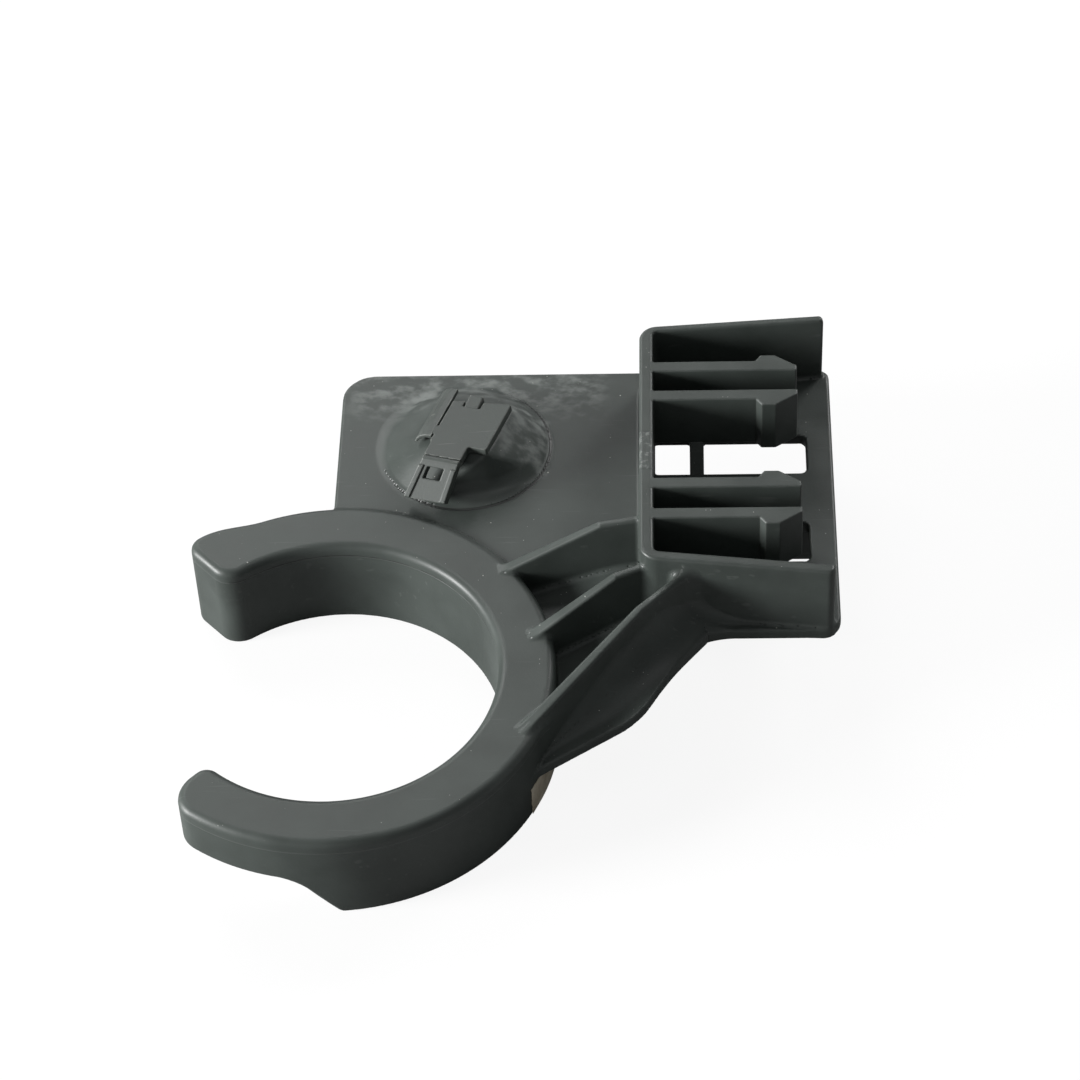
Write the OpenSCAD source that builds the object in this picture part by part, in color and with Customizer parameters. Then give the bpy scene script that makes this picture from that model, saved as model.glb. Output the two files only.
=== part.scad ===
// Snap-on cup holder bracket: an open cup ring on a mounting plate, with a
// ribbed web, a walled socket holding two pairs of barbed snap fingers, a
// square-to-round boss with a separate retaining clip, and a blank label.
// Millimetres, +Z up. The origin is the cup ring's centre, on its underside.

/* [Cup ring] */
// Diameter of the cup opening
cup_bore_d = 75; // [60:1:95]
// Radial width of the ring
ring_w = 13; // [10:0.5:16]
// Height of the ring
ring_h = 24; // [20:1:34]
// Wall thickness of the hollow ring
ring_skin = 2.6; // [2:0.1:3.4]
// Angle of the rear tip, measured from +X
rear_tip_a = 133.5; // [120:0.5:145]
// Angle of the front tip, measured from +X the other way
front_tip_a = 134; // [120:0.5:145]
// Bulge of the rear tip beyond the ring's outer edge
rear_tip_bulge = 3; // [1:0.5:4]
// Height of the ring left at the front tip
front_tip_h = 13; // [8:0.5:17]
// Thickness of the stiffening ribs inside the ring
ring_rib_t = 1.8; // [1.2:0.1:2.6]

/* [Mounting plate] */
// Distance from the ring's centre to the plate's right edge
plate_right = 115; // [108:0.5:130]
// Distance from the ring's centre to the plate's left edge, leftwards
plate_left = 2.5; // [0:0.5:10]
// Distance from the ring's centre to the plate's rear edge
plate_rear = 95.3; // [94:0.1:110]
// Distance from the ring's centre to the plate's front edge
plate_front = 11; // [9:0.1:12]
// Thickness of the plate
plate_t = 3; // [2.4:0.1:4]
// Step down from the ring's top to the plate's top
plate_step = 1; // [0.5:0.1:2.5]

/* [Socket] */
// Distance from the ring's centre to the socket's closed side
socket_x = 69.5; // [66:0.5:72]
// Length of the socket along the closed side, outside
socket_len = 75; // [72:0.5:78]
// Height of the socket walls above the plate
socket_wall_h = 18.8; // [16:0.2:24]
// Thickness of the closed side wall
side_wall_t = 3.2; // [2.4:0.1:4]
// Thickness of the rear wall
rear_wall_t = 2; // [1.6:0.1:2.6]
// Thickness of the front wall
front_wall_t = 2.7; // [2:0.1:3.2]
// Flare of the rear wall
rear_flare = 4.3; // [2:0.1:5]
// Flare of the front wall
front_flare = 6.9; // [4:0.1:7]
// Radius of the closed side's outer corners
socket_corner_r = 4; // [3:0.5:5]

/* [Snap fingers] */
// Length of a finger from the closed side to its tip
finger_len = 33.8; // [30:0.1:37]
// Thickness of a finger
finger_t = 3.3; // [2.6:0.1:3.8]
// Height of a finger
finger_h = 14.5; // [11:0.5:16]
// Clear gap between the two fingers of a pair
pair_gap = 6.3; // [5.6:0.1:8]
// Distance between the middles of the two pairs
pair_pitch = 38; // [36:0.5:40]
// Depth of a barb
barb_depth = 1.85; // [1:0.05:2.4]
// Length of a barb's flat crest
barb_crest = 3.3; // [2:0.1:5]
// Length of a barb's lead-in, up to the finger's tip
barb_lead = 5.2; // [4:0.1:7]
// Clearance of a finger's round root in its seat
root_clearance = 0.05; // [0.03:0.01:0.1]

/* [Windows and guide rails] */
// Width of a window through the plate
window_w = 12.3; // [9:0.1:14]
// Distance between the two windows
window_spacing = 16; // [14:0.5:18]
// Length of a window
window_len = 36; // [34:0.1:38]
// Depth of the rails below the plate
rail_depth = 10; // [5:0.5:14]
// Thickness of a rail
rail_t = 2.2; // [1.6:0.1:3]
// How far each rail runs past its window
rail_over = 2.5; // [0:0.1:4]
// Thickness of the bridge under the fingers
bridge_t = 3.3; // [2.4:0.1:4]
// Distance from the closed side wall to the bridge
bridge_x = 8.5; // [6:0.5:9]

/* [Web and ribs] */
// Slope of the web's floor, fall for each millimetre
web_fall = 0.29; // [0.2:0.01:0.34]
// Height that the ribs gain on the way to the socket
rib_rise = 12.5; // [9:0.5:14]
// Thickness of a rib along its top
rib_top_t = 2; // [1.6:0.1:2.6]
// Thickness of a rib at its foot
rib_foot_t = 4; // [3:0.1:4.6]

/* [Boss and clip] */
// Distance from the ring's centre to the boss's middle, rightwards
boss_x = 28; // [24:0.5:34]
// Distance from the ring's centre to the boss's middle, rearwards
boss_y = 70; // [69:0.5:73]
// Diameter of the boss's foot
boss_d = 40; // [36:0.5:42]
// Height of the boss
boss_h = 9; // [7:0.5:12]
// Turn of the clip about the boss
clip_turn = 20.5; // [0:0.5:30]
// Sideways lean of the clip
clip_lean = 6; // [0:0.5:8]
// Width of the clip's plate
clip_w = 14.3; // [12:0.1:16]
// Length of the clip's plate
clip_l = 16; // [14:0.1:18]
// Thickness of the clip
clip_t = 2; // [1.4:0.1:2.6]
// Width of the latch arm
latch_w = 9.4; // [8:0.1:10.5]
// Length of the latch arm
latch_l = 9.6; // [8:0.1:12]
// Sideways lean of the latch arm at its end
latch_skew = 3; // [0:0.1:3.5]
// How much wider the latch arm is at its end
latch_spread = 1.3; // [0:0.1:2]
// Slope of the latch arm
latch_slope = 46; // [40:1:55]

/* [Label] */
// Margin from the label to the ring's foot and to the web
label_margin = 0.4; // [0.2:0.1:1.5]
// Length of the label along the ring
label_len = 28; // [16:1:34]
// Thickness of the label
label_t = 0.2; // [0.1:0.05:0.3]

/* [Hidden] */
$fn = 96;

far = 300;
ring_ri = cup_bore_d / 2;
ring_ro = ring_ri + ring_w;
plate_top = ring_h - plate_step;
plate_bottom = plate_top - plate_t;

socket_top = plate_top + socket_wall_h;
socket_mid_y = (plate_rear + plate_front) / 2 + 0.9;
socket_y0 = socket_mid_y - socket_len / 2;
socket_y1 = socket_mid_y + socket_len / 2;
socket_inner_x = socket_x + side_wall_t;
socket_open_x = plate_right - 1.5;
split_x = socket_x + socket_corner_r + 0.2;

finger_bottom = socket_top - finger_h;
bridge_x0 = socket_inner_x + bridge_x;
pivot_x = bridge_x0 + bridge_t + 1.9;
finger_r = finger_t / 2;
tip_x = socket_inner_x + finger_len;
finger_y = [socket_mid_y + pair_pitch / 2 + (pair_gap + finger_t) / 2,
            socket_mid_y + pair_pitch / 2 - (pair_gap + finger_t) / 2,
            socket_mid_y - pair_pitch / 2 + (pair_gap + finger_t) / 2,
            socket_mid_y - pair_pitch / 2 - (pair_gap + finger_t) / 2];
barb_side = [1, -1, 1, -1];

moulded_black = [0.11, 0.12, 0.12];
clip_black = [0.14, 0.15, 0.15];
paper_white = [0.93, 0.90, 0.85];

// Points of a corner at b, between a and c, rounded with radius r
function corner(a, b, c, r, steps = 8) =
    let (u = (a - b) / norm(a - b), v = (c - b) / norm(c - b),
         half = acos(u * v) / 2, reach = r / tan(half),
         centre = b + (u + v) / norm(u + v) * r / sin(half),
         p = b + u * reach - centre, q = b + v * reach - centre,
         sweep = acos(p * q / (r * r)), side = sign(p[0] * q[1] - p[1] * q[0]))
    [for (i = [0 : steps])
        let (t = side * sweep * i / steps)
        centre + [p[0] * cos(t) - p[1] * sin(t), p[0] * sin(t) + p[1] * cos(t)]];

// Point at a distance and an angle from the ring's centre
function polar(r, a) = [r * cos(a), r * sin(a)];

module slab(z0, z1) {
    translate([0, 0, z0]) linear_extrude(z1 - z0) children();
}

// ---- Cup ring ----

rear_arc_end = 112;
front_arc_end = -118;
relief_start = -97;
relief_ramp = 9.2;
ring_bays = 7;

// Flat wedge from the axis outwards, between two angles less than 180 apart
module wedge(a0, a1) {
    reach = ring_ro * 1.5;
    polygon([[0, 0], polar(reach, a0), polar(reach, (a0 + a1) / 2), polar(reach, a1)]);
}

// The foot of the ring is cut away towards the front tip, behind a ramp
module front_relief() {
    cut_h = ring_h - front_tip_h;
    rotate([0, 0, relief_start]) rotate([90, 0, 90]) linear_extrude(ring_ro * 1.2)
        polygon([[-ring_ro, -1], [relief_ramp + 0.8, -1], [0, cut_h], [-ring_ro, cut_h]]);
}

// The ring is hollow from below, in bays with cross ribs between them
module ring_bay(a0, a1) {
    slab(-1, ring_h - ring_skin) intersection() {
        difference() {
            circle(ring_ro - ring_skin);
            circle(ring_ri + ring_skin);
        }
        wedge(a0, a1);
    }
}

module cup_ring() {
    span = (rear_arc_end - front_arc_end) / ring_bays;
    rib_a = ring_rib_t / (ring_ri + ring_ro) * 180 / PI;
    color(moulded_black) difference() {
        slab(0, ring_h) difference() {
            circle(ring_ro);
            circle(ring_ri);
            wedge(rear_arc_end, 360 + front_arc_end);
        }
        for (i = [0 : ring_bays - 1])
            ring_bay(front_arc_end + i * span + rib_a, front_arc_end + (i + 1) * span - rib_a);
        front_relief();
    }
}

// Outline of a tip: the ring's arcs, then two rounded corners.
// side is 1 for the rear tip and -1 for the front tip.
module tip_outline(tip_a, arc_a, inner_r, outer_r, bulge, side) {
    steps = 8;
    inner_a = tip_a - asin(inner_r / (ring_ri + inner_r));
    outer_a = tip_a - asin(outer_r / (ring_ro + bulge - outer_r));
    inner_c = polar(ring_ri + inner_r, inner_a);
    outer_c = polar(ring_ro + bulge - outer_r, outer_a);
    ease = [for (i = [0 : steps]) (1 - cos(180 * i / steps)) / 2];
    mirror([0, side > 0 ? 0 : 1]) polygon(concat(
        [for (i = [0 : steps]) polar(ring_ri, arc_a + (inner_a - arc_a) * i / steps)],
        [for (i = [1 : steps]) inner_c + polar(inner_r, inner_a + 180 + (tip_a - inner_a - 90) * i / steps)],
        [for (i = [0 : steps]) outer_c + polar(outer_r, tip_a + 90 - (tip_a + 90 - outer_a) * i / steps)],
        [for (i = [1 : steps]) polar(ring_ro + bulge * (1 - ease[i]), outer_a + (arc_a - outer_a) * i / steps)]));
}

module ring_rear_tip() {
    color(moulded_black) slab(0, ring_h)
        tip_outline(rear_tip_a, rear_arc_end, 5, 4, rear_tip_bulge, 1);
}

module ring_front_tip() {
    color(moulded_black) difference() {
        slab(0, ring_h) tip_outline(front_tip_a, -front_arc_end, 3.2, 8, 0, -1);
        front_relief();
    }
}

// ---- Socket outline ----

function rear_y(x) = socket_y1 + (x - socket_x) * tan(rear_flare);
function front_y(x) = socket_y0 - (x - socket_x) * tan(front_flare);

module socket_outer() {
    polygon(concat([[socket_open_x, rear_y(socket_open_x)]],
        corner([socket_open_x, rear_y(socket_open_x)], [socket_x, socket_y1],
            [socket_x, socket_y0], socket_corner_r),
        corner([socket_x, socket_y1], [socket_x, socket_y0],
            [socket_open_x, front_y(socket_open_x)], socket_corner_r),
        [[socket_open_x, front_y(socket_open_x)]]));
}

module socket_inner() {
    rear_t = rear_wall_t / cos(rear_flare);
    front_t = front_wall_t / cos(front_flare);
    polygon([[socket_inner_x, rear_y(socket_inner_x) - rear_t], [far, rear_y(far) - rear_t],
        [far, front_y(far) + front_t], [socket_inner_x, front_y(socket_inner_x) + front_t]]);
}

module socket_walls() {
    color(moulded_black) slab(plate_top, socket_top) intersection() {
        difference() {
            socket_outer();
            socket_inner();
        }
        children();
    }
}

module socket_side_wall() {
    socket_walls() square([split_x, far]);
}

module socket_rear_wall() {
    socket_walls() translate([split_x, socket_mid_y]) square([far, far]);
}

module socket_front_wall() {
    socket_walls() translate([split_x, socket_mid_y - far]) square([far, far]);
}

// ---- Web between the ring and the socket ----

web_dir = 20;
web_flat_from = socket_x * cos(web_dir) + socket_y0 * sin(web_dir);
web_join_x = 84.6;
web_elbow = [69, -11.6];
web_ring_end = [44, -22];

rib_start = [polar(ring_ro - 2.6, 38.6), polar(ring_ro - 4.9, 12), polar(ring_ro - 3.4, -23.5)];
rib_end = [[socket_x + 1, socket_y0 + 16.6], [socket_x + 3, socket_y0 + 2.6],
           [socket_x + 11.5, socket_y0 + 0.5]];

// Heights of the floor's two faces, at a distance along the web's direction
function floor_top(s) = plate_top - web_fall * max(0, web_flat_from - s);

module web_outline() {
    polygon(concat([rib_start[0] * 0.9, rib_start[0], [socket_x, rib_end[0][1]],
            [socket_x, socket_y0 - 2]],
        corner([plate_right, plate_front], [web_join_x, plate_front], web_elbow, 5),
        corner([web_join_x, plate_front], web_elbow, web_ring_end, 16),
        [web_ring_end]));
}

// Everything between two depths below the floor's top face
module floor_layer(depth0, depth1) {
    low = web_flat_from - 80;
    high = web_flat_from + 60;
    rotate([0, 0, web_dir]) rotate([90, 0, 0]) linear_extrude(2 * far, center = true)
        polygon([[low, floor_top(low) - depth0], [web_flat_from, plate_top - depth0],
            [high, plate_top - depth0], [high, plate_top - depth1],
            [web_flat_from, plate_top - depth1], [low, floor_top(low) - depth1]]);
}

module web_floor() {
    color(moulded_black) difference() {
        intersection() {
            slab(0, plate_top) web_outline();
            floor_layer(0, plate_t);
        }
        translate([0, 0, -1]) cylinder(r = ring_ro, h = ring_h + 2);
        web_rib_solid(0);
    }
}

// Rib with drafted sides, rising from the ring's top to the socket
module web_rib_solid(i) {
    run = norm(rib_end[i] - rib_start[i]);
    low = plate_bottom - 12;
    high = ring_h + rib_rise + 1;
    translate(rib_start[i]) rotate([0, 0, atan2(rib_end[i][1] - rib_start[i][1],
                                              rib_end[i][0] - rib_start[i][0])])
        intersection() {
            rotate([90, 0, 0]) linear_extrude(rib_foot_t * 2, center = true)
                polygon([[0, low], [0, ring_h], [run * 0.69, high - 1], [run, high], [run, low]]);
            rotate([90, 0, 90]) linear_extrude(run)
                polygon([[-rib_foot_t / 2, low], [rib_foot_t / 2, low],
                    [rib_top_t / 2, high], [-rib_top_t / 2, high]]);
        }
}

module web_rib(i) {
    color(moulded_black) difference() {
        web_rib_solid(i);
        translate([0, 0, -1]) cylinder(r = ring_ro, h = ring_h + 1);
        slab(plate_top, socket_top) socket_outer();
        floor_layer(i == 0 ? plate_t : 0, far);
    }
}

module web_rib_rear() {
    web_rib(0);
}

module web_rib_middle() {
    web_rib(1);
}

module web_rib_front() {
    web_rib(2);
}

// ---- Mounting plate ----

window_mid_y = socket_mid_y - 1.3;
window_edge = window_spacing / 2;

module windows() {
    for (side = [0, 1])
        translate([socket_inner_x, window_mid_y]) mirror([0, side])
            translate([0, window_edge]) square([window_len, window_w]);
}

module mounting_plate() {
    color(moulded_black) difference() {
        slab(plate_bottom, plate_top) difference() {
            polygon(concat([[-plate_left, ring_ro / 2]],
                corner([-plate_left, ring_ro], [-plate_left, plate_rear],
                    [plate_right, plate_rear], 8),
                corner([-plate_left, plate_rear], [plate_right, plate_rear],
                    [plate_right, plate_front], 2.5),
                corner([plate_right, plate_rear], [plate_right, plate_front],
                    [web_join_x, plate_front], 4.5),
                [[web_join_x, plate_front], [socket_x, plate_front], [ring_ro / 2, plate_front]]));
            web_outline();
            windows();
        }
        translate([0, 0, -1]) cylinder(r = ring_ro, h = ring_h + 2);
        web_rib_solid(0);
    }
}

// Rails under the plate, one along the near edge of each window
module guide_rail(side) {
    color(moulded_black) translate([socket_inner_x, window_mid_y, plate_bottom - rail_depth])
        mirror([0, side, 0]) translate([0, window_edge - rail_t, 0])
            cube([window_len + rail_over, rail_t, rail_depth]);
}

module guide_rail_rear() {
    guide_rail(0);
}

module guide_rail_front() {
    guide_rail(1);
}

// ---- Snap fingers ----

// Bridge across a window, which carries the fingers of one pair
module finger_bridge(side, inner_finger, outer_finger) {
    sign_y = side == 0 ? 1 : -1;
    near = sign_y * (finger_y[inner_finger] - window_mid_y) - finger_r;
    end = sign_y * (finger_y[outer_finger] - window_mid_y) + finger_r;
    window_end = window_edge + window_w;
    color(moulded_black) translate([bridge_x0, window_mid_y, 0]) mirror([0, side, 0])
        rotate([90, 0, 90]) linear_extrude(bridge_t)
            polygon([[window_edge, plate_bottom - rail_depth * 0.6], [window_end, plate_bottom],
                [window_end, plate_top], [end, plate_top], [end, finger_bottom],
                [near, finger_bottom], [window_edge, plate_bottom]]);
}

module finger_bridge_rear() {
    finger_bridge(0, 1, 0);
}

module finger_bridge_front() {
    finger_bridge(1, 2, 3);
}

module finger_root(i) {
    color(moulded_black) difference() {
        translate([socket_inner_x, finger_y[i] - finger_r, finger_bottom])
            cube([pivot_x - socket_inner_x, finger_t, finger_h]);
        translate([pivot_x, finger_y[i], finger_bottom - 1])
            cylinder(r = finger_r + root_clearance, h = finger_h + 2);
    }
}

// Finger with its barb outwards and its round root at the pivot
module snap_finger(i) {
    crest_end = tip_x - barb_lead;
    crest_start = crest_end - barb_crest;
    catch_run = barb_depth * 0.75;
    tip_t = finger_t / 2;
    color(moulded_black) translate([0, finger_y[i], finger_bottom])
        mirror([0, barb_side[i] > 0 ? 0 : 1, 0]) {
            translate([pivot_x, 0, 0]) cylinder(r = finger_r, h = finger_h);
            linear_extrude(finger_h)
                polygon([[pivot_x, -finger_r], [tip_x, -finger_r], [tip_x, tip_t - finger_r],
                    [crest_end, finger_r + barb_depth], [crest_start, finger_r + barb_depth],
                    [crest_start - catch_run, finger_r], [pivot_x, finger_r]]);
        }
}

module finger_root_1() {
    finger_root(0);
}

module finger_root_2() {
    finger_root(1);
}

module finger_root_3() {
    finger_root(2);
}

module finger_root_4() {
    finger_root(3);
}

module snap_finger_1() {
    snap_finger(0);
}

module snap_finger_2() {
    snap_finger(1);
}

module snap_finger_3() {
    snap_finger(2);
}

module snap_finger_4() {
    snap_finger(3);
}

// ---- Boss and clip ----

clip_x0 = -clip_w * 0.31;
clip_rear = clip_l * 0.4;
clip_front = clip_rear - clip_l;
tongue_l = 5.4;
tongue_gap = clip_t * 0.3;
latch_y = clip_front - tongue_l;
tongue_x0 = clip_x0 + 0.3;
slot_gap = 0.45;
tab_w = 3.6;
tab_l = 3.4;
tab_x0 = clip_x0 + 3.4;

// The clip's own frame: its seat on top of the boss
module at_clip() {
    translate([boss_x, boss_y, plate_top + boss_h]) rotate([0, 0, -clip_turn])
        rotate([0, -clip_lean, 0]) children();
}

module clip_boss() {
    color(moulded_black) difference() {
        hull() {
            translate([boss_x, boss_y, plate_top]) cylinder(d = boss_d, h = 0.6, $fn = 64);
            at_clip() translate([clip_x0, clip_front, -0.5]) cube([clip_w, clip_l, 0.5]);
        }
        cylinder(r = ring_ro, h = plate_top + boss_h + clip_t);
    }
}

module clip_plate() {
    color(clip_black) at_clip() difference() {
        union() {
            translate([clip_x0, clip_front, 0]) cube([clip_w, clip_l, clip_t]);
            translate([tongue_x0, latch_y + tongue_gap, 0])
                cube([latch_w, tongue_l - tongue_gap, clip_t]);
        }
        translate([tab_x0 - slot_gap, clip_rear - tab_l + 1, -1])
            cube([tab_w + 2 * slot_gap, tab_l, clip_t + 2]);
        translate([tongue_x0 - 1, latch_y, clip_t / 2]) rotate([0, 90, 0])
            cylinder(d = clip_t + 2 * root_clearance, h = latch_w + 2, $fn = 48);
    }
}

// Side flange that curves down, free of the plate along a slot
module clip_wing() {
    wing_w = 4.4;
    wing_front = clip_front + 2.2;
    wing_rear = clip_rear + 2.9;
    color(clip_black) at_clip() {
        translate([clip_x0 - slot_gap, wing_rear, 0]) rotate([90, 0, 0])
            linear_extrude(wing_rear - wing_front)
                polygon([[0, clip_t], [-wing_w * 0.5, clip_t * 0.8], [-wing_w * 0.85, 0.2],
                    [-wing_w, -1.1], [-wing_w + 0.9, -1], [-wing_w * 0.6, 0], [0, 0.4]]);
        translate([clip_x0 - slot_gap, wing_front, 0.4]) cube([slot_gap, 3, clip_t - 0.4]);
    }
}

module clip_catch_tab() {
    color(clip_black) at_clip()
        translate([tab_x0, clip_rear - tab_l + 1, 0]) cube([tab_w, tab_l, clip_t + 0.5]);
}

// Sprung arm that slopes down to the boss's foot, with a window and two ridges
module arm_strip(left, right, y0, y1) {
    shift = latch_skew / latch_l;
    widen = latch_spread / latch_l;
    edge = function(x, y) tongue_x0 + x + y * (shift - widen * x / latch_w);
    polygon([[edge(left, y0), y0], [edge(right, y0), y0], [edge(right, y1), y1], [edge(left, y1), y1]]);
}

module clip_latch_arm() {
    ridge_w = 1.2;
    left = root_clearance;
    right = latch_w - root_clearance;
    color(clip_black) at_clip() translate([0, latch_y, clip_t / 2]) {
        translate([tongue_x0 + left, 0, 0]) rotate([0, 90, 0])
            cylinder(d = clip_t, h = right - left, $fn = 48);
        rotate([latch_slope, 0, 0]) difference() {
            union() {
                slab(-clip_t / 2, clip_t / 2) arm_strip(left, right, -latch_l, 0);
                slab(clip_t / 2 - 0.1, clip_t / 2 + 0.4) {
                    arm_strip(left, left + ridge_w, -latch_l, -2);
                    arm_strip(right - ridge_w, right, -latch_l, -2);
                }
            }
            slab(-clip_t, clip_t * 2) arm_strip(latch_w / 2 - 2.4, latch_w / 2 + 1.6, -4.4, -1.6);
        }
    }
}

// ---- Label ----

label_a0 = -27.5;

module label() {
    low = floor_top(ring_ro * cos(label_a0 - web_dir)) - plate_t;
    color(paper_white) rotate([0, 0, label_a0])
        rotate_extrude(angle = label_len / ring_ro * 180 / PI)
            translate([ring_ro, label_margin]) square([label_t, low - 2 * label_margin]);
}

cup_ring();
ring_rear_tip();
ring_front_tip();
mounting_plate();
web_floor();
web_rib_rear();
web_rib_middle();
web_rib_front();
socket_side_wall();
socket_rear_wall();
socket_front_wall();
guide_rail_rear();
guide_rail_front();
finger_bridge_rear();
finger_bridge_front();
finger_root_1();
finger_root_2();
finger_root_3();
finger_root_4();
snap_finger_1();
snap_finger_2();
snap_finger_3();
snap_finger_4();
clip_boss();
clip_plate();
clip_wing();
clip_catch_tab();
clip_latch_arm();
label();
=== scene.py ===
import bpy, bmesh, math
import numpy as np
from mathutils import Vector, Matrix


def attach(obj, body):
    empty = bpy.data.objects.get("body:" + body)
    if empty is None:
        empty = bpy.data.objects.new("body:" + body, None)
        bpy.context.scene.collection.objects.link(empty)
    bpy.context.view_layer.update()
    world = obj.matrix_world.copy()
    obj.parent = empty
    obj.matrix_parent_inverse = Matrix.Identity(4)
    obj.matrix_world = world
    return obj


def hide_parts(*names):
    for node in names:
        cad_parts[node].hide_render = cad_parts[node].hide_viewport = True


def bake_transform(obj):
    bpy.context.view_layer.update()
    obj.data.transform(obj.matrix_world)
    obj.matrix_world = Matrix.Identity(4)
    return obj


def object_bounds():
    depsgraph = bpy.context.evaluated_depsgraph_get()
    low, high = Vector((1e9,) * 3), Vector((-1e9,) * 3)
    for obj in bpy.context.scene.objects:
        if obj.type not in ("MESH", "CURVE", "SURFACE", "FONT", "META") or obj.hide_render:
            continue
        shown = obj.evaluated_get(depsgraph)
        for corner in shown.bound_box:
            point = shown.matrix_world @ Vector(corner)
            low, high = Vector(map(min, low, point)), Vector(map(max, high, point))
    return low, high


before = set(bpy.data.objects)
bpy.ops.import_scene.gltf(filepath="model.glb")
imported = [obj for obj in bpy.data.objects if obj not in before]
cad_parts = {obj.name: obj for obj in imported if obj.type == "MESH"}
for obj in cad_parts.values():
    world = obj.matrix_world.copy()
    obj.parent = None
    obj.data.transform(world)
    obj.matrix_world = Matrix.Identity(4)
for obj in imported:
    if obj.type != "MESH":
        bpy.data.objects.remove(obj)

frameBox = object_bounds()
mm = 0.001
far = 60.0  # farther than any two points of the moulding that are compared, in mm
print("frame loaded")


# solids are distance fields in millimetres: below 0 inside, above 0 outside
def cutRound(a, b, r):
    # where both are inside, with the edge between them rounded
    return np.minimum(-r, np.maximum(a, b)) + np.hypot(np.maximum(a + r, 0), np.maximum(b + r, 0))


def joinFillet(a, b, r):
    # both together, with a fillet in the corner between them
    return np.maximum(r, np.minimum(a, b)) - np.hypot(np.maximum(r - a, 0), np.maximum(r - b, 0))


def roundedRect(u, v, halfU, halfV, r):
    qu, qv = np.abs(u) - halfU + r, np.abs(v) - halfV + r
    return np.minimum(np.maximum(qu, qv), 0) + np.hypot(np.maximum(qu, 0), np.maximum(qv, 0)) - r


def outline(u, v, points):
    # signed distance to a closed outline of a few straight sides
    best = np.full(u.shape, 1e9)
    inside = np.ones(u.shape)
    for i, (ax, ay) in enumerate(points):
        bx, by = points[i - 1]
        ex, ey = bx - ax, by - ay
        wx, wy = u - ax, v - ay
        t = np.clip((wx * ex + wy * ey) / (ex * ex + ey * ey), 0, 1)
        best = np.minimum(best, (wx - ex * t) ** 2 + (wy - ey * t) ** 2)
        up, down, left = v >= ay, v < by, ex * wy > ey * wx
        inside = np.where((up & down & left) | (~up & ~down & ~left), -inside, inside)
    return inside * np.sqrt(best)


def sideOf(u, v, a, b):
    # distance to the left of the line from a to b
    length = math.hypot(b[0] - a[0], b[1] - a[1])
    return ((b[0] - a[0]) * (v - a[1]) - (b[1] - a[1]) * (u - a[0])) / length


cupRing = {
    "innerRadius": 37.5, "outerRadius": 50.5, "height": 24.0, "topEdge": 1.9, "footEdge": 0.7,
    "rearEnd": 133.5, "frontEnd": -134.0, "rearBulge": 3.0, "skin": 2.6, "bays": 7, "bayRib": 1.8,
    "frontHeight": 13.0, "rampStart": -97.0, "rampRun": 9.2, "rampBend": 3.0, "rampEdge": 0.9,
    "bayStart": -118.0, "bayEnd": 112.0, "bayCorner": 1.0, "bayRoof": 0.8, "bayLip": 0.4,
    "bulgeRun": 17.0, "rearCorners": (4.0, 5.0), "frontCorners": (8.0, 3.2),
}


def ringField(x, y, z):
    c = cupRing
    r, a = np.hypot(x, y), np.degrees(np.arctan2(y, x))
    rear, front = math.radians(c["rearEnd"]), math.radians(c["frontEnd"])
    past = np.where(y > 0, -x * math.sin(rear) + y * math.cos(rear),
        x * math.sin(front) - y * math.cos(front))
    grow = np.clip((a - c["bayEnd"]) / c["bulgeRun"], 0, 1)
    outer = r - c["outerRadius"] - c["rearBulge"] * (1 - np.cos(math.pi * grow)) / 2
    inner = c["innerRadius"] - r
    outerCorner, innerCorner = (np.where(y > 0, *pair) for pair in zip(c["rearCorners"], c["frontCorners"]))
    flat = np.maximum(cutRound(outer, past, outerCorner), cutRound(inner, past, innerCorner))
    d = cutRound(flat, z - c["height"], c["topEdge"])
    d = cutRound(d, -z, c["footEdge"])
    start = math.radians(c["rampStart"])
    out, along = x * math.cos(start) + y * math.sin(start), -x * math.sin(start) + y * math.cos(start)
    rise = c["height"] - c["frontHeight"]
    slope = rise / c["rampRun"]
    ramp = cutRound(z - rise, (z - rise + along * slope) / math.hypot(1, slope), c["rampBend"])
    d = cutRound(d, -np.where(out > 0, ramp, far), c["rampEdge"])
    span = (c["bayEnd"] - c["bayStart"]) / c["bays"]
    frac = np.mod((a - c["bayStart"]) / span, 1)
    rib = c["bayRib"] / 2 - r * np.radians(np.minimum(frac, 1 - frac) * span)
    ends = r * np.radians(np.maximum(a - c["bayEnd"], c["bayStart"] - a))
    middle = (c["innerRadius"] + c["outerRadius"]) / 2
    half = (c["outerRadius"] - c["innerRadius"]) / 2 - c["skin"]
    bay = cutRound(np.abs(r - middle) - half, np.maximum(rib, ends), c["bayCorner"])
    bay = cutRound(bay, z - c["height"] + c["skin"], c["bayRoof"])
    return cutRound(d, -bay, c["bayLip"])


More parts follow.
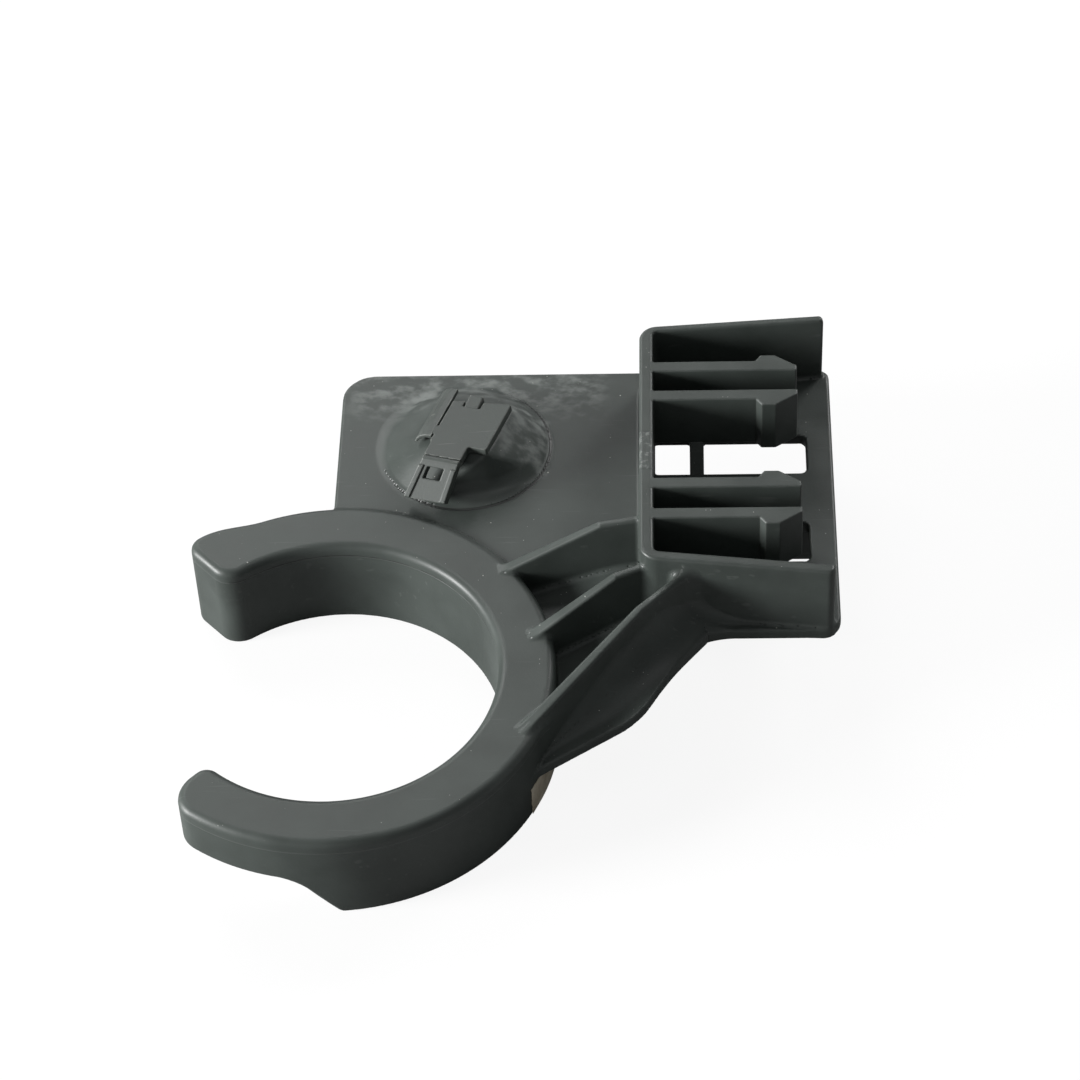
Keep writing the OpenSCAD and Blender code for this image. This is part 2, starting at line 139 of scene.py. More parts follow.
plate = {
    "top": 23.0, "thickness": 3.0, "left": -2.5, "right": 115.0, "front": 11.0, "rear": 95.3, "edge": 0.5,
    "windowStart": 72.7, "windowLength": 36.0, "windowWidth": 12.3, "windowMiddle": 52.75,
    "windowSpacing": 16.0,
    "windowEdge": 0.35, "windowCorner": 1.6, "windowRoot": 0.5, "railThickness": 2.2, "railDepth": 10.0,
    "railOver": 2.5,
    "cornerRear": 2.5, "cornerFront": 4.5, "cornerLeft": 8.0, "cornerHidden": 0.6, "insideRing": 44.0,
    "underWeb": 3.0,
}
web = {
    "direction": 20.0, "flatFrom": 70.97, "fall": 0.29, "elbow": (69.0, -11.6), "corner": (84.6, 11.0),
    "ringEnd": (44.0, -22.0),
    "ribStart": ((37.41, 29.88), (44.6, 9.48), (43.19, -18.78)),
    "ribEnd": ((70.5, 33.15), (72.5, 19.15), (81.0, 17.05)),
    "ribFoot": 4.0, "ribTop": 2.0, "ribRise": 12.5, "ribKnee": 0.69, "ribEdge": 0.7, "ribPast": 12.0,
    "cove": 8.5,
    "bend": 4.0, "elbowRadius": 2.4, "right": 84.0, "edge": 0.5, "slant": 1.04,
}


def floorHeight(x, y):
    c = web
    turn = math.radians(c["direction"])
    v = c["flatFrom"] - x * math.cos(turn) - y * math.sin(turn)
    bend = c["bend"]
    v = np.where(np.abs(v) < bend, (v + bend) ** 2 / (4 * bend), np.maximum(v, 0))
    return plate["top"] - c["fall"] * v


def plateField(x, y, z):
    c = plate
    u, v = x - (c["left"] + c["right"]) / 2, y - (c["front"] + c["rear"]) / 2
    right = np.where(v > 0, c["cornerRear"], c["cornerFront"])
    corner = np.where(u > 0, right, np.where(v > 0, c["cornerLeft"], c["cornerHidden"]))
    flat = roundedRect(u, v, (c["right"] - c["left"]) / 2, (c["rear"] - c["front"]) / 2, corner)
    flat = np.maximum(flat, c["insideRing"] - np.hypot(x, y))
    behind = sideOf(x, y, web["ribStart"][0], web["ribEnd"][0])
    turn = math.radians(web["direction"])
    beyond = x * math.cos(turn) + y * math.sin(turn) - web["flatFrom"] - c["underWeb"]
    flat = np.maximum(flat, -np.maximum(behind, beyond))
    d = cutRound(flat, np.abs(z - c["top"] + c["thickness"] / 2) - c["thickness"] / 2, c["edge"])
    for side in (-1, 1):
        middle = c["windowMiddle"] + side * (c["windowSpacing"] + c["windowWidth"]) / 2
        u = x - c["windowStart"] - c["windowLength"] / 2
        corner = np.where(u > 0, c["windowCorner"], c["windowRoot"])
        window = roundedRect(u, y - middle, c["windowLength"] / 2, c["windowWidth"] / 2, corner)
        d = cutRound(d, -window, c["windowEdge"])
    return d


def webFloorField(x, y, z):
    c = web
    right = sideOf(x, y, c["corner"], c["elbow"])
    below = sideOf(x, y, c["elbow"], c["ringEnd"])
    flat = cutRound(right, below, c["elbowRadius"])
    behind = sideOf(x, y, c["ribStart"][0], c["ribEnd"][0])
    flat = np.maximum(np.maximum(flat, behind), np.maximum(x - c["right"],
        plate["insideRing"] - np.hypot(x, y)))
    half = plate["thickness"] / 2
    depth = (np.abs(z - floorHeight(x, y) + half) - half) / c["slant"]
    return cutRound(flat, depth, c["edge"])


def ribField(i, x, y, z):
    c = web
    (ax, ay), (bx, by) = c["ribStart"][i], c["ribEnd"][i]
    run = math.hypot(bx - ax, by - ay)
    along = ((x - ax) * (bx - ax) + (y - ay) * (by - ay)) / run
    across = sideOf(x, y, (ax, ay), (bx, by))
    knee, top = run * c["ribKnee"], cupRing["height"] + c["ribRise"]
    high = np.interp(along, (-10, 0, knee, run), (cupRing["height"] - 5, cupRing["height"], top,
        top + 1)).astype(z.dtype)
    half = c["ribFoot"] / 2 - (z - 8) * (c["ribFoot"] - c["ribTop"]) / 2 / (top - 7)
    d = cutRound(np.abs(across) - half, (z - high) / 1.12, c["ribEdge"])
    d = np.maximum(d, np.maximum(-along, along - run - c["ribPast"]))
    return np.maximum(d, floorHeight(x, y) - 1.5 - z), along / run, across


socket = {
    "side": 69.5, "inner": 72.7, "open": 113.5, "rear": 91.55, "front": 16.55, "rearFlare": 4.3,
    "frontFlare": 6.9,
    "rearWall": 2.0, "frontWall": 2.7, "top": 41.8, "corner": 4.0, "edge": 0.65, "innerCorner": 1.2,
    "frontEnd": 2.0, "rearEnd": 1.4, "topEnd": 1.2, "foot": 20.5,
}


def socketField(x, y, z):
    c = socket
    tr, tf = math.tan(math.radians(c["rearFlare"])), math.tan(math.radians(c["frontFlare"]))
    cr, cf = math.cos(math.radians(c["rearFlare"])), math.cos(math.radians(c["frontFlare"]))
    rear = (y - c["rear"] - (x - c["side"]) * tr) * cr
    front = (c["front"] - (x - c["side"]) * tf - y) * cf
    outer = np.maximum(cutRound(c["side"] - x, rear, c["corner"]),
        cutRound(c["side"] - x, front, c["corner"]))
    past, inward = x - c["open"], c["inner"] - x
    outer = np.maximum(outer, np.maximum(cutRound(past, front, c["frontEnd"]),
        cutRound(past, rear, c["rearEnd"])))
    inner = np.maximum(*(cutRound(inward, side, c["innerCorner"])
        for side in (rear + c["rearWall"], front + c["frontWall"])))
    d = cutRound(outer, -inner, 0.4)
    d = cutRound(d, cutRound(z - c["top"], past, c["topEnd"]), c["edge"])
    return np.maximum(d, c["foot"] - z), np.maximum(inner, past - 8)


snapFinger = {
    "middle": (77.85, 68.25, 39.85, 30.25), "barbSide": (1, -1, 1, -1), "thickness": 3.3, "bottom": 27.3,
    "top": 41.8,
    "root": 71.6, "pivot": 86.4, "tip": 106.5, "barbDepth": 1.85, "barbCrest": 3.3, "barbLead": 5.2,
    "bridgeStart": 81.2, "bridgeThickness": 3.3,
}


def railField(side, x, y, z):
    c = plate
    inner = c["windowMiddle"] + side * (c["windowSpacing"] / 2 - c["railThickness"] / 2)
    length = c["windowLength"] + c["railOver"]
    flat = roundedRect(x - c["windowStart"] - length / 2, y - inner, length / 2, c["railThickness"] / 2,
        0.3)
    low = c["top"] - c["thickness"] - c["railDepth"]
    return cutRound(flat, np.maximum(low - z, z - c["top"] + 1), 0.4)


def bridgeField(side, x, y, z):
    c, s = plate, snapFinger
    nearFinger, farFinger = (1, 0) if side > 0 else (2, 3)
    half = s["thickness"] / 2
    near = side * (s["middle"][nearFinger] - c["windowMiddle"]) - half
    end = side * (s["middle"][farFinger] - c["windowMiddle"]) + half
    edge, low, top = c["windowSpacing"] / 2, c["top"] - c["thickness"], c["top"]
    stop = edge + c["windowWidth"] + 0.5
    points = [(edge - 0.8, low - c["railDepth"] * 0.6), (stop, low), (stop, top - 0.5), (end, top - 0.5),
        (end, s["bottom"] + 0.5),
        (near, s["bottom"] + 0.5), (edge - 0.8, low + 1)]
    flat = outline(side * (y - c["windowMiddle"]), z, points)
    wide = s["bridgeThickness"] / 2
    return cutRound(flat, np.abs(x - s["bridgeStart"] - wide) - wide, 0.35)


clip = {
    "place": (28.0, 70.0, 32.0), "turn": -20.5, "lean": -6.0, "width": 14.3, "length": 16.0,
    "thickness": 2.0,
    "latchWidth": 9.4, "latchLength": 9.6, "latchSlope": 46.0, "latchSkew": 3.0, "latchSpread": 1.3,
    "tongueGap": 0.25, "rootClearance": 0.08, "bossRadius": 20.0, "bossFoot": 0.5,
    "apronRun": 2.6, "apronSlant": 2.79, "apronTop": 29.0, "apronBend": 1.5, "cell": 0.24,
}
# two steep faces cut under the latch arm, meeting at the seat's front right corner
crease, clip["scoop"] = Vector((33.9, 58.0, 32.3)), []
for n in (Vector((0.17, -0.93, 0.33)), Vector((0.52, -0.77, 0.36))):
    n.normalize()
    clip["scoop"].append((n.x, n.y, n.z, n.dot(crease)))
clipLeft, clipRear = -clip["width"] * 0.31, clip["length"] * 0.4
clipFront = clipRear - clip["length"]
clipFrame = Matrix.Translation(clip["place"]) @ Matrix.Rotation(math.radians(clip["turn"]), 4, "Z")
clipFrame = clipFrame @ Matrix.Rotation(math.radians(clip["lean"]), 4, "Y")


def bossSides():
    # planes that each touch the boss's round foot and one corner of the clip's seat
    seat = [clipFrame @ Vector((clipLeft + i * clip["width"], clipFront + j * clip["length"], 0))
        for i in (0, 1) for j in (0, 1)]
    sides = []
    for k in range(144):
        a = 2 * math.pi * k / 144
        radial = Vector((math.cos(a), math.sin(a), 0)) * clip["bossRadius"]
        foot = Vector(clip["place"][:2] + (plate["top"] + clip["bossFoot"],)) + radial
        tangent = Vector((-math.sin(a), math.cos(a), 0))
        normals = [tangent.cross(corner - foot).normalized() for corner in seat]
        n = max(normals, key=lambda n: n.z)
        for n in normals:
            n = n if n.dot(Vector((math.cos(a), math.sin(a), 0.2))) > 0 else -n
            if all(n.dot(corner - foot) < 1e-4 for corner in seat):
                sides.append((n, n.dot(foot)))
                break
    return sides


bossPlanes = bossSides()
seatNormal = (clipFrame.to_3x3() @ Vector((0, 0, 1))).normalized()
seatPlane = (seatNormal, seatNormal.dot(Vector(clip["place"])))


def bossField(x, y, z):
    blur = 0.16
    total = 0
    for n, c in bossPlanes + [seatPlane]:
        total = total + np.exp(np.clip((n.x * x + n.y * y + n.z * z - c) / blur, -60, 60))
    hill = np.maximum(blur * np.log(total), 21.5 - z)
    c = clip
    r = np.hypot(x - c["place"][0], y - c["place"][1])
    apron = (r - c["bossRadius"] + (z - plate["top"] - c["bossFoot"]) * c["apronRun"]) / c["apronSlant"]
    under, shoulder = (n[0] * x + n[1] * y + n[2] * z - n[3] for n in c["scoop"])
    recess = joinFillet(cutRound(under, shoulder, 0.6), np.maximum(apron, z - c["apronTop"]),
        c["apronBend"])
    return cutRound(hill, recess, 0.3 + smooth((r - 15) / 3))


mouldingParts = [
    # name, low corner, high corner, field
    ("ring", (-56, -51, 0), (51, 51, 24), ringField),
    ("plate", (-3, 11, 20), (115, 96, 23), plateField),
    ("webFloor", (38, -23, 8), (84, 34, 23), webFloorField),
    ("ribRear", (36, 27, 10), (83, 37, 38), lambda x, y, z: ribField(0, x, y, z)),
    ("ribMiddle", (43, 7, 10), (84, 26, 38), lambda x, y, z: ribField(1, x, y, z)),
    ("ribFront", (41, -21, 8), (91, 29, 38), lambda x, y, z: ribField(2, x, y, z)),
    ("socket", (69, 10, 20), (114, 96, 42), socketField),
    ("railRear", (72, 58, 10), (112, 61, 22), lambda x, y, z: railField(1, x, y, z)),
    ("railFront", (72, 44, 10), (112, 47, 22), lambda x, y, z: railField(-1, x, y, z)),
    ("bridgeRear", (81, 59, 13), (85, 81, 28), lambda x, y, z: bridgeField(1, x, y, z)),
    ("bridgeFront", (81, 26, 13), (85, 46, 28), lambda x, y, z: bridgeField(-1, x, y, z)),
    ("boss", (8, 50, 21), (48, 90, 33), bossField),
]


def smooth(t):
    t = np.clip(t, 0, 1)
    return t * t * (3 - 2 * t)


# fillet where each part meets the ones before it, in mm
joinRadii = {
    "ring": 0.0, "plate": 0.8, "webFloor": 1.0, "railRear": 0.5, "railFront": 0.5, "bridgeRear": 0.6,
    "bridgeFront": 0.6, "boss": 0.9,
}


def mouldingField(x, y, z, low, high, owners=False):
    # all parts of the moulding joined, or with owners, which part is nearest
    whole, nearest, owner = np.full(x.shape, far), np.full(x.shape, far), np.zeros(x.shape, int)
    for i, (name, a, b, field) in enumerate(mouldingParts):
        reach = 11.0
        if any(low[k] > b[k] + reach or high[k] < a[k] - reach for k in range(3)):
            continue
        d = field(x, y, z)
        if name == "socket":
            d, room = d
            cleared = -np.maximum(room, plate["top"] - z)  # nothing but the plate reaches into the socket
            whole = np.maximum(whole, cleared)
            if owners:
                nearest = np.maximum(nearest, cleared)
            outside = smooth((socket["front"] - y + 1) / 2)
            radius = 1.0 + outside * smooth((96 - x) / 10)
        elif name.startswith("rib"):
            d, t, across = d
            radius = 0.9 + smooth(t * 6) * 0.5
            if name == "ribFront":
                radius = np.where(across < 0, 1.0 + web["cove"] * smooth(t * 1.7), radius)
        else:
            radius = joinRadii[name]
        whole = np.minimum(whole, d) if name == "ring" else joinFillet(whole, d, radius)
        if owners:
            closer = d < nearest
            nearest, owner = np.where(closer, d, nearest), np.where(closer, i, owner)
    return owner if owners else whole


def inBlocks(points, field, size=9.0):
    # runs a field over scattered points, near ones together
    keys = np.floor(points / size).astype(int)
    keys -= keys.min(axis=0)
    spans = keys.max(axis=0) + 1
    code = (keys[:, 0] * spans[1] + keys[:, 1]) * spans[2] + keys[:, 2]
    order = np.argsort(code, kind="stable")
    edges = np.flatnonzero(np.diff(code[order])) + 1
    result = np.zeros(len(points))
    for group in np.split(order, edges):
        p = points[group]
        result[group] = field(p[:, 0], p[:, 1], p[:, 2], p.min(axis=0), p.max(axis=0))
    return result


def slopeOf(points, field, h=0.04):
    g = np.zeros(points.shape)
    total = np.zeros(len(points))
    for k in ((1, -1, -1), (-1, -1, 1), (-1, 1, -1), (1, 1, 1)):
        k = np.array(k, float)
        v = inBlocks(points + k * h, field)
        g += k * v[:, None]
        total += v
    return total / 4, g / (4 * h)


def surfaceOf(field, low, high, cell, steps=2):
    # surface of a field: one vertex in each crossed cell, then moved onto the surface
    low, high = np.array(low, float), np.array(high, float)
    count = np.ceil((high - low) / cell).astype(int) + 1
    value = np.ones(count, np.float32)
    block = 14
    for i in range(0, count[0], block):
        for j in range(0, count[1], block):
            for k in range(0, count[2], block):
                n = np.minimum(np.array((i, j, k)) + block, count) - (i, j, k)
                a = low + np.array((i, j, k)) * cell
                b = a + (n - 1) * cell
                middle = (a + b) / 2
                d = field(middle[0:1], middle[1:2], middle[2:3], middle, middle)[0]
                part = value[i:i + n[0], j:j + n[1], k:k + n[2]]
                if abs(d) > np.linalg.norm(b - a) * 0.65 + 1.5:
                    part[...] = math.copysign(1, d)
                    continue
                gx, gy, gz = np.meshgrid(*(a[m] + np.arange(n[m]) * cell for m in range(3)), indexing="ij")
                part[...] = field(gx.ravel(), gy.ravel(), gz.ravel(), a, b).reshape(n)
    value[value == 0] = 1e-6
    solid = value < 0
    corners = [(i, j, k) for i in (0, 1) for j in (0, 1) for k in (0, 1)]
    shape = count - 1
    crossed = sum(solid[i:i + shape[0], j:j + shape[1], k:k + shape[2]].astype(np.int8) for i, j,
        k in corners)
    cells = np.argwhere((crossed > 0) & (crossed < 8))
    at = {c: value[tuple((cells + c).T)] for c in corners}
    total, hits = np.zeros((len(cells), 3)), np.zeros(len(cells))
    for a in corners:
        for axis in range(3):
            if a[axis]:
                continue
            b = tuple(1 if m == axis else a[m] for m in range(3))
            cross = (at[a] < 0) != (at[b] < 0)
            t = np.where(cross, at[a] / np.where(cross, at[a] - at[b], 1), 0)
            point = np.array(a, float) + t[:, None] * (np.array(b) - np.array(a))
            total += point * cross[:, None]
            hits += cross
    points = low + (cells + total / hits[:, None]) * cell
    index = np.full(shape, -1, int)
    index[tuple(cells.T)] = np.arange(len(cells))
    quads = []
    for axis in range(3):
        u, v = (axis + 1) % 3, (axis + 2) % 3
        here = [slice(1, -1)] * 3
        here[axis] = slice(0, -1)
        there = list(here)
        there[axis] = slice(1, None)
        change = solid[tuple(here)] != solid[tuple(there)]
        spots = np.argwhere(change)
        outward = solid[tuple(here)][change]
        base = spots.copy()
        base[:, u] += 1
        base[:, v] += 1
        ring = []
        for du, dv in ((-1, -1), (0, -1), (0, 0), (-1, 0)):
            c = base.copy()
            c[:, u] += du
            c[:, v] += dv
            ring.append(index[tuple(c.T)])
        ring = np.stack(ring, axis=1)
        quads.append(np.where(outward[:, None], ring, ring[:, ::-1]))
    quads = np.concatenate(quads)
    for _ in range(steps):
        d, g = slopeOf(points, field)
        move = g * (d / np.maximum((g * g).sum(axis=1), 0.25))[:, None]
        length = np.linalg.norm(move, axis=1)
        points -= move * np.minimum(1, 0.6 * cell / np.maximum(length, 1e-9))[:, None]
    g = slopeOf(points, field)[1]
    bend = slopeOf(points, field, 0.16)[0] - slopeOf(points, field, 0.04)[0]
    return points, quads, g / np.maximum(np.linalg.norm(g, axis=1), 1e-6)[:, None], bend / 0.08


def addObject(name, data):
    added = bpy.data.objects.new(name, data)
    bpy.context.scene.collection.objects.link(added)
    return added


def makePiece(name, points, quads, normals, bend):
    # one closed mesh: an inner skin closes it where it is cut, or flat lids if it is large
    used, local = np.unique(quads, return_inverse=True)
    local = local.reshape(quads.shape)
    mesh = bpy.data.meshes.new(name)
    bm = bmesh.new()
    verts = [bm.verts.new(p) for p in points[used] * mm]
    bm.verts.index_update()
    for f in local:
        try:
            bm.faces.new([verts[i] for i in f])
        except ValueError:
            pass
    bm.edges.ensure_lookup_table()
    bm.normal_update()
    cut = [e for e in bm.edges if len(e.link_faces) == 1]
    skinned = bool(cut) and len(quads) < skinLimit
    faces = list(bm.faces) if skinned else []
    inside = {}
    for v in verts if skinned else dict.fromkeys(v for e in cut for v in e.verts):
        inside[v] = bm.verts.new(v.co - Vector(normals[used[v.index]]) * skinDepth * mm)
    for f in faces:
        bm.faces.new([inside[v] for v in reversed(f.verts)])
    rim = []
    for e in cut:
        loop = e.link_loops[0]
        a, b = loop.vert, loop.link_loop_next.vert
        bm.faces.new((b, a, inside[a], inside[b]))
        rim.append(bm.edges.get((inside[a], inside[b])))
    if rim and not skinned:
        lids = bmesh.ops.holes_fill(bm, edges=rim, sides=0)["faces"]
        bmesh.ops.triangulate(bm, faces=lids, ngon_method="EAR_CLIP")
    bm.to_mesh(mesh)
    bm.free()
    mesh.polygons.foreach_set("use_smooth", [True] * len(mesh.polygons))
    shading = np.array([v.normal[:] for v in mesh.vertices])
    agree = (shading[:len(used)] * normals[used]).sum(axis=1) > 0.55
    shading[:len(used)][agree] = normals[used][agree]
    mesh.normals_split_custom_set_from_vertices(shading.tolist())
    # how sharply the surface turns: above 0 on an outer edge, below 0 in a corner
    turn = mesh.attributes.new("turn", "FLOAT", "POINT")
    turn.data.foreach_set("value", np.concatenate((bend[used],
        np.zeros(len(mesh.vertices) - len(used)))).astype(np.float32))
    print(name, len(mesh.polygons) * 2, "triangles", "skinned" if skinned else "")
    return addObject(name, mesh)


mouldingCell = 0.5
skinLimit, skinDepth = 48000, 0.45
points, quads, normals, bend = surfaceOf(mouldingField, (-57, -53, -2), (117, 98, 44), mouldingCell)
points = np.clip(points, np.array(frameBox[0]) / mm, np.array(frameBox[1]) / mm)
print("moulding surface", len(points), "points")

middles = points[quads].mean(axis=1)
owner = inBlocks(middles, lambda x, y, z, a, b: mouldingField(x, y, z, a, b, True)).astype(int)
names = [part[0] for part in mouldingParts]
kind = np.array(names, dtype=object)[owner]
angle = np.degrees(np.arctan2(middles[:, 1], middles[:, 0]))
kind[(kind == "ring") & (angle > cupRing["bayEnd"])] = "ringRearTip"
kind[(kind == "ring") & (angle < cupRing["bayStart"])] = "ringFrontTip"
walls = kind == "socket"
kind[walls & (middles[:, 0] <= 74.5)] = "socketSide"
kind[walls & (middles[:, 0] > 74.5) & (middles[:, 1] > 54)] = "socketRear"
kind[walls & (middles[:, 0] > 74.5) & (middles[:, 1] <= 54)] = "socketFront"
mouldingPieces = {
    "cupRing": ("ring", "cup_ring"), "ringRearTip": ("ringRearTip", "ring_rear_tip"),
    "ringFrontTip": ("ringFrontTip", "ring_front_tip"),
    "mountingPlate": ("plate", "mounting_plate"), "webFloor": ("webFloor", "web_floor"),
    "webRibRear": ("ribRear", "web_rib_rear"),
    "webRibMiddle": ("ribMiddle", "web_rib_middle"), "webRibFront": ("ribFront", "web_rib_front"),
    "socketSideWall": ("socketSide", "socket_side_wall"), "socketRearWall": ("socketRear",
    "socket_rear_wall"),
    "socketFrontWall": ("socketFront", "socket_front_wall"),
    "guideRailRear": ("railRear", "guide_rail_rear"),
    "guideRailFront": ("railFront", "guide_rail_front"), "fingerBridgeRear": ("bridgeRear",
    "finger_bridge_rear"),
    "fingerBridgeFront": ("bridgeFront", "finger_bridge_front"), "clipBoss": ("boss", "clip_boss"),
}
pieces = {}
for name, (part, node) in mouldingPieces.items():
    piece = makePiece(name, points, quads[kind == part], normals, bend)
    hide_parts(node)
    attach(piece, "bracket")
    pieces[name] = piece
print("moulding split into", len(pieces), "pieces")


def fingerField(i, x, y, z):
    c = snapFinger
    side, half = c["barbSide"][i], c["thickness"] / 2
    crestEnd = c["tip"] - c["barbLead"]
    crestStart = crestEnd - c["barbCrest"]
    edge = 0.3
    out = half + c["barbDepth"]
    points = [(c["root"] - 1, -half + edge), (c["tip"] - edge, -half + edge),
        (c["tip"] - edge, -edge * 0.4), (crestEnd, out - edge),
        (crestStart + edge * 0.6, out - edge), (crestStart - c["barbDepth"] * 0.75 + edge,
        half - edge), (c["root"] - 1, half - edge)]
    v = (y - c["middle"][i]) * side
    flat = outline(x, v, points) - edge
    wall, flare = x - socket["inner"], 0.4
    foot = joinFillet(np.abs(v) - half, wall, flare)
    flat = joinFillet(flat, np.maximum(wall, np.abs(v) - half - flare), flare)
    flat = np.maximum(flat, c["root"] - x)
    return cutRound(flat, np.abs(z - (c["bottom"] + c["top"]) / 2) - (c["top"] - c["bottom"]) / 2, 0.35)


def local(field, frameMatrix):
    # a field built in a frame of its own
    back = np.array(frameMatrix.inverted())

    def placed(x, y, z, low, high):
        p = back[:3, :3] @ np.stack((x, y, z)) + back[:3, 3:]
        return field(p[0], p[1], p[2])
    return placed


fingerCell = 0.33
for i in range(4):
    c = snapFinger
    y0 = c["middle"][i]
    found = surfaceOf(lambda x, y, z, a, b: fingerField(i, x, y, z),
        (c["root"] - 1, y0 - 5, c["bottom"] - 1), (c["tip"] + 1, y0 + 5, c["top"] + 1), fingerCell)
    piece = makePiece("snapFinger%d" % (i + 1), *found)
    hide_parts("finger_root_%d" % (i + 1), "snap_finger_%d" % (i + 1))
    pieces[piece.name] = piece
    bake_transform(piece)
print("fingers made")

tabLeft, tabWidth, slotGap = clipLeft + 3.4, 3.6, 0.45
tongueLeft, latchPlace = clipLeft + 0.3, clipFront - 5.4


def rectangle(u, v, u0, u1, v0, v1, r):
    return roundedRect(u - (u0 + u1) / 2, v - (v0 + v1) / 2, (u1 - u0) / 2, (v1 - v0) / 2, r)


def clipPlateField(x, y, z):
    c = clip
    flat = rectangle(x, y, clipLeft, clipLeft + c["width"], clipFront, clipRear, 0.5)
    flat = joinFillet(flat, rectangle(x, y, tongueLeft, tongueLeft + c["latchWidth"],
        latchPlace + c["tongueGap"], clipFront + 1, 0.2), 0.8)
    flat = cutRound(flat, (y - clipRear - (x - clipLeft - c["width"]) * 0.13) / 1.01, 0.4)
    notch = rectangle(x, y, tabLeft - slotGap, tabLeft + tabWidth + slotGap, clipRear - 3.2, clipRear + 3,
        0.3)
    flat = cutRound(flat, -notch, 0.2)
    flat = np.minimum(flat, rectangle(x, y, clipLeft - slotGap - 0.6, clipLeft + 1, clipFront + 2.2,
        clipFront + 5.2, 0.2))
    d = cutRound(flat, np.abs(z - c["thickness"] / 2) - c["thickness"] / 2, 0.3)
    knuckle = np.hypot(y - latchPlace, z - c["thickness"] / 2) - c["thickness"] / 2
    return np.maximum(d, c["rootClearance"] - knuckle)


def clipWingField(x, y, z):
    u = x - clipLeft + slotGap
    points = [(0, 1.95), (-1.6, 1.8), (-3.0, 1.2), (-4.1, 0.2), (-4.75, -1.0), (-4.2, -1.05),
        (-3.4, -0.2), (-2.6, 0.45), (-1.4, 0.85), (0, 0.85)]
    flat = outline(u, z, points) - 0.05
    y0, y1 = clipFront + 1.5, clipRear + 2.2
    return cutRound(flat, np.abs(y - (y0 + y1) / 2) - (y1 - y0) / 2, 0.3)


def clipTabField(x, y, z):
    flat = rectangle(x, y, tabLeft, tabLeft + tabWidth, clipRear - 3.6, clipRear + 0.6, 0.45)
    return cutRound(flat, cutRound(-z, z - 2.5 + (clipRear + 0.6 - y) * 0.12, 0.5), 0.4)


def latchField(x, y, z):
    # built flat in the arm's own frame, hinge at the origin
    c = clip
    x0, x1 = tongueLeft + 0.05, tongueLeft + c["latchWidth"] - 0.05
    lean, spread = c["latchSkew"] / c["latchLength"], c["latchSpread"] / c["latchLength"]
    straight = np.minimum(y, 0)
    u = (x - straight * lean - x0) / (1 - straight * spread / c["latchWidth"]) + x0
    flat = rectangle(u, y, x0, x1, -c["latchLength"], 0.3, 0.2)
    window = rectangle(u, y, (x0 + x1) / 2 - 2.4, (x0 + x1) / 2 + 1.6, -4.4, -1.6, 0.25)
    flat = cutRound(flat, -window, 0.15)
    d = cutRound(flat, np.abs(z) - c["thickness"] / 2, 0.3)
    for a in (x0, x1 - 1.3):
        ridge = rectangle(u, y, a, a + 1.3, -c["latchLength"] + 0.2, -1.4, 0.2)
        d = joinFillet(d, cutRound(ridge, np.abs(z - 0.9) - 0.5, 0.25), 0.2)
    knuckle = cutRound(np.hypot(y, z) - c["thickness"] / 2, np.abs(x - (x0 + x1) / 2) - (x1 - x0) / 2, 0.25)
    return joinFillet(d, knuckle, 0.1)


def addClipPiece(name, field, frameMatrix, low, high, node, body):
    corner = [frameMatrix @ Vector((low[0] if i & 1 else high[0], low[1] if i & 2 else high[1],
        low[2] if i & 4 else high[2])) for i in range(8)]
    a = [min(p[k] for p in corner) - 1 for k in range(3)]
    b = [max(p[k] for p in corner) + 1 for k in range(3)]
    piece = makePiece(name, *surfaceOf(local(field, frameMatrix), a, b, clip["cell"]))
    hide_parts(node)
    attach(piece, body)
    pieces[name] = piece


latchFrame = clipFrame @ Matrix.Translation((0, latchPlace, clip["thickness"] / 2))
latchFrame = latchFrame @ Matrix.Rotation(math.radians(clip["latchSlope"]), 4, "X")
addClipPiece("clipPlate", clipPlateField, clipFrame, (-6, -16, 0), (11, 9, 2), "clip_plate", "bracket")
addClipPiece("clipWing", clipWingField, clipFrame, (-11, -10, -2), (-4, 10, 2.2), "clip_wing", "bracket")
addClipPiece("clipCatchTab", clipTabField, clipFrame, (-2, 3, 0), (3, 8, 2.6), "clip_catch_tab", "bracket")
addClipPiece("latchArm", latchField, latchFrame, (-9, -11, -1.2), (6, 1.2, 1.6), "clip_latch_arm",
    "latch_arm")
print("clip made")


def put(tree, kind, wires=None, **settings):
    # adds a node, sets it and wires or fills its inputs
    node = tree.nodes.new(kind)
    for key, value in settings.items():
        setattr(node, key, value)
    for key, value in (wires or {}).items():
        if isinstance(value, bpy.types.NodeSocket):
            tree.links.new(value, node.inputs[key])
        else:
            node.inputs[key].default_value = value
    return node


def calc(tree, operation, a, b=0.0, c=0.0):
    return put(tree, "ShaderNodeMath", {0: a, 1: b, 2: c}, operation=operation).outputs[0]


def times(tree, a, b):
    return calc(tree, "MULTIPLY", a, b)


label = {"start": -27.5, "length": 28.0, "low": 0.5, "width": 8.4, "thickness": 0.16, "radius": 50.53,
    "ragged": 0.8, "seed": 5}


